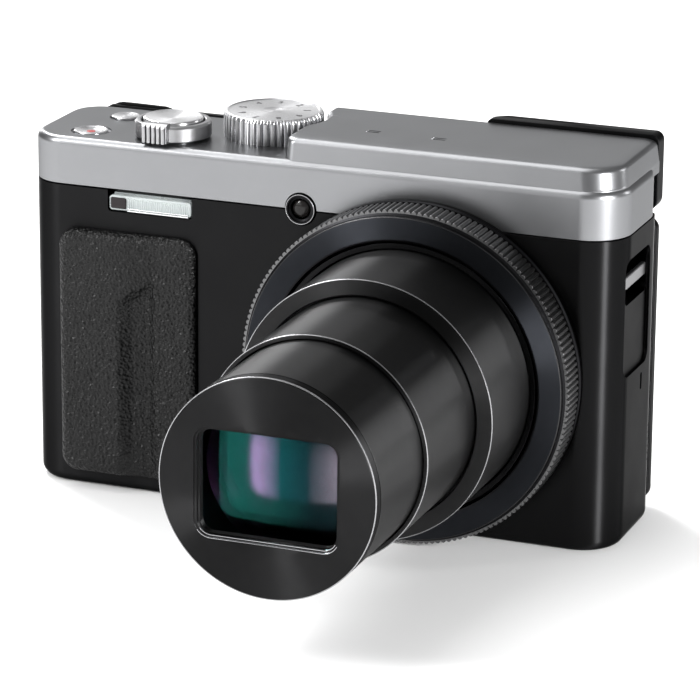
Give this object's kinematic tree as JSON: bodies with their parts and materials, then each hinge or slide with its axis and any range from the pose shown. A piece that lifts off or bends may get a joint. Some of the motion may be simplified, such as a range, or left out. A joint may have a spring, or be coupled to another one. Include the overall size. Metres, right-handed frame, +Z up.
{
  "type": "compact digital camera",
  "caption": "Compact zoom camera: covers, telescoping lens with control ring and blades, dials, buttons, tilting screen, viewfinder, battery and terminal doors.",
  "frame": {"origin": "middle of the flat base, on the front cover's underside", "axes": "+X to the strap side (right in a front view), -Y the way the lens looks, +Z up"},
  "size_m": [0.112, 0.101, 0.0701],
  "materials": {
    "body_black": "fine matte",
    "lens_black": "satin black anodised",
    "ring_black": "satin black, knurled",
    "top_silver": "fine satin silver",
    "control_metal": "brushed",
    "dial_silver": "knurled, spun top",
    "steel": "brushed",
    "grip_leatherette": "pebbled leatherette",
    "rubber": "matte",
    "lens_glass": "coated, polished",
    "screen_glass": "polished, dark",
    "clear_plastic": "clear, ribbed inside",
    "board_green": "solder mask",
    "battery_black": "smooth"
  },
  "bodies": {
    "root": {"front_cover": "body_black", "rear_cover": "body_black", "top_cover": "top_silver", "grip_cover": "grip_leatherette", "thumb_rest": "rubber", "evf_housing": "body_black", "evf_eyepiece_lens": "lens_glass", "eyecup": "rubber", "evf_display": "board_green", "flash_window": "clear_plastic", "flash_reflector": "control_metal", "flash_tube": "clear_plastic", "af_lamp_bezel": "lens_black", "af_lamp_lens": "clear_plastic", "lens_base_ring": "lens_black", "lens_housing": "body_black", "image_sensor": "board_green", "sensor_plate": "steel", "chassis_frame": "steel", "main_board": "board_green", "zoom_motor": "steel", "battery": "battery_black", "memory_card": "battery_black", "terminal_sockets": "steel", "tripod_socket": "steel", "base_screw": "steel", "strap_bar_right": "control_metal", "strap_bar_left": "control_metal"},
    "control_ring": {"control_ring": "ring_black"},
    "outer_barrel": {"outer_barrel": "lens_black"},
    "middle_barrel": {"middle_barrel": "lens_black", "variator_lens": "lens_glass", "shutter_unit": "body_black"},
    "inner_barrel": {"inner_barrel": "lens_black", "lens_front_ring": "lens_black", "front_element": "lens_glass"},
    "barrier_upper_inner": {"barrier_upper_inner": "steel"},
    "barrier_upper_outer": {"barrier_upper_outer": "steel"},
    "barrier_lower_inner": {"barrier_lower_inner": "steel"},
    "barrier_lower_outer": {"barrier_lower_outer": "steel"},
    "focus_group": {"focus_group": "lens_glass"},
    "shutter_button": {"shutter_button": "control_metal"},
    "zoom_lever": {"zoom_lever": "dial_silver"},
    "mode_dial": {"mode_dial": "dial_silver"},
    "power_button": {"power_button": "control_metal"},
    "movie_button": {"movie_button": "control_metal"},
    "screen_hinge_link": {"screen_hinge_link": "steel"},
    "screen": {"screen_frame": "body_black", "screen_glass": "screen_glass"},
    "rear_dial": {"rear_dial": "ring_black"},
    "set_button": {"set_button": "body_black"},
    "photo_mode_button": {"photo_mode_button": "body_black"},
    "viewfinder_button": {"viewfinder_button": "body_black"},
    "play_button": {"play_button": "body_black"},
    "quick_menu_button": {"quick_menu_button": "body_black"},
    "display_button": {"display_button": "body_black"},
    "diopter_dial": {"diopter_dial": "body_black"},
    "battery_door": {"battery_door": "body_black"},
    "door_latch": {"door_latch": "body_black"},
    "terminal_door": {"terminal_door": "body_black"}
  },
  "joints": [
    {"name": "control_ring_turn", "type": "hinge", "parent": "root", "child": "control_ring", "pos_m": [0.02, -0.0195, 0.0309], "axis": [0, -1, 0], "continuous": true},
    {"name": "outer_barrel_slide", "type": "slide", "parent": "root", "child": "outer_barrel", "axis": [0, 1, 0], "range_m": [0, 0.0168]},
    {"name": "middle_barrel_slide", "type": "slide", "parent": "outer_barrel", "child": "middle_barrel", "axis": [0, 1, 0], "range_m": [0, 0.02184]},
    {"name": "inner_barrel_slide", "type": "slide", "parent": "middle_barrel", "child": "inner_barrel", "axis": [0, 1, 0], "range_m": [0, 0.021]},
    {"name": "barrier_close", "type": "slide", "parent": "inner_barrel", "child": "barrier_upper_inner", "axis": [0, 0, -1], "range_m": [0, 0.0096]},
    {"name": "barrier_upper_outer_slide", "type": "slide", "parent": "inner_barrel", "child": "barrier_upper_outer", "axis": [0, 0, -1], "range_m": [0, 0.0048]},
    {"name": "barrier_lower_inner_slide", "type": "slide", "parent": "inner_barrel", "child": "barrier_lower_inner", "axis": [0, 0, 1], "range_m": [0, 0.0096]},
    {"name": "barrier_lower_outer_slide", "type": "slide", "parent": "inner_barrel", "child": "barrier_lower_outer", "axis": [0, 0, 1], "range_m": [0, 0.0048]},
    {"name": "focus_slide", "type": "slide", "parent": "root", "child": "focus_group", "axis": [0, 1, 0], "range_m": [0, 0.001]},
    {"name": "shutter_press", "type": "slide", "parent": "root", "child": "shutter_button", "axis": [0, 0, -1], "range_m": [0, 0.001], "stiffness_N_per_m": 900},
    {"name": "zoom_lever_turn", "type": "hinge", "parent": "root", "child": "zoom_lever", "pos_m": [-0.0304, -0.0058, 0.067], "axis": [0, 0, 1], "range_deg": [-18, 18], "stiffness_Nm_per_rad": 0.02},
    {"name": "mode_dial_turn", "type": "hinge", "parent": "root", "child": "mode_dial", "pos_m": [-0.0144, 0.0027, 0.0677], "axis": [0, 0, 1], "continuous": true},
    {"name": "power_press", "type": "slide", "parent": "root", "child": "power_button", "axis": [0, 0, -1], "range_m": [0, 0.0005], "stiffness_N_per_m": 900},
    {"name": "movie_press", "type": "slide", "parent": "root", "child": "movie_button", "axis": [0, 0, -1], "range_m": [0, 0.0005], "stiffness_N_per_m": 900},
    {"name": "screen_lift", "type": "hinge", "parent": "root", "child": "screen_hinge_link", "pos_m": [0.009, 0.01475, 0.0563], "axis": [1, 0, 0], "range_deg": [0, 90]},
    {"name": "screen_tilt", "type": "hinge", "parent": "screen_hinge_link", "child": "screen", "pos_m": [0.009, 0.0141, 0.053], "axis": [1, 0, 0], "range_deg": [0, 90]},
    {"name": "rear_dial_turn", "type": "hinge", "parent": "root", "child": "rear_dial", "pos_m": [-0.0385, 0.0135, 0.024], "axis": [0, 1, 0], "continuous": true},
    {"name": "set_press", "type": "slide", "parent": "root", "child": "set_button", "axis": [0, -1, 0], "range_m": [0, 0.0005], "stiffness_N_per_m": 900},
    {"name": "photo_mode_press", "type": "slide", "parent": "root", "child": "photo_mode_button", "axis": [0, -1, 0], "range_m": [0, 0.0004], "stiffness_N_per_m": 900},
    {"name": "viewfinder_press", "type": "slide", "parent": "root", "child": "viewfinder_button", "axis": [0, -1, 0], "range_m": [0, 0.0004], "stiffness_N_per_m": 900},
    {"name": "play_press", "type": "slide", "parent": "root", "child": "play_button", "axis": [0, -1, 0], "range_m": [0, 0.0004], "stiffness_N_per_m": 900},
    {"name": "quick_menu_press", "type": "slide", "parent": "root", "child": "quick_menu_button", "axis": [0, -1, 0], "range_m": [0, 0.0004], "stiffness_N_per_m": 900},
    {"name": "display_press", "type": "slide", "parent": "root", "child": "display_button", "axis": [0, -1, 0], "range_m": [0, 0.0004], "stiffness_N_per_m": 900},
    {"name": "diopter_turn", "type": "hinge", "parent": "root", "child": "diopter_dial", "pos_m": [0.0274, 0.0157, 0.063], "axis": [0, 1, 0], "range_deg": [-120, 120]},
    {"name": "battery_door_swing", "type": "hinge", "parent": "root", "child": "battery_door", "pos_m": [-0.02, -0.0007, 0.0007], "axis": [0, -1, 0], "range_deg": [0, 95]},
    {"name": "door_latch_slide", "type": "slide", "parent": "battery_door", "child": "door_latch", "axis": [1, 0, 0], "range_m": [0, 0.0022]},
    {"name": "terminal_door_swing", "type": "hinge", "parent": "root", "child": "terminal_door", "pos_m": [-0.0554, 0.0048, 0.029], "axis": [0, 0, -1], "range_deg": [0, 95]}
  ],
  "couplings": [
    {"joint": "middle_barrel_slide", "follows": "outer_barrel_slide", "ratio": 1.3},
    {"joint": "inner_barrel_slide", "follows": "outer_barrel_slide", "ratio": 1.25},
    {"joint": "barrier_upper_outer_slide", "follows": "barrier_close", "ratio": 0.5},
    {"joint": "barrier_lower_inner_slide", "follows": "barrier_close", "ratio": 1},
    {"joint": "barrier_lower_outer_slide", "follows": "barrier_close", "ratio": 0.5},
    {"joint": "screen_tilt", "follows": "screen_lift", "ratio": 1}
  ]
}
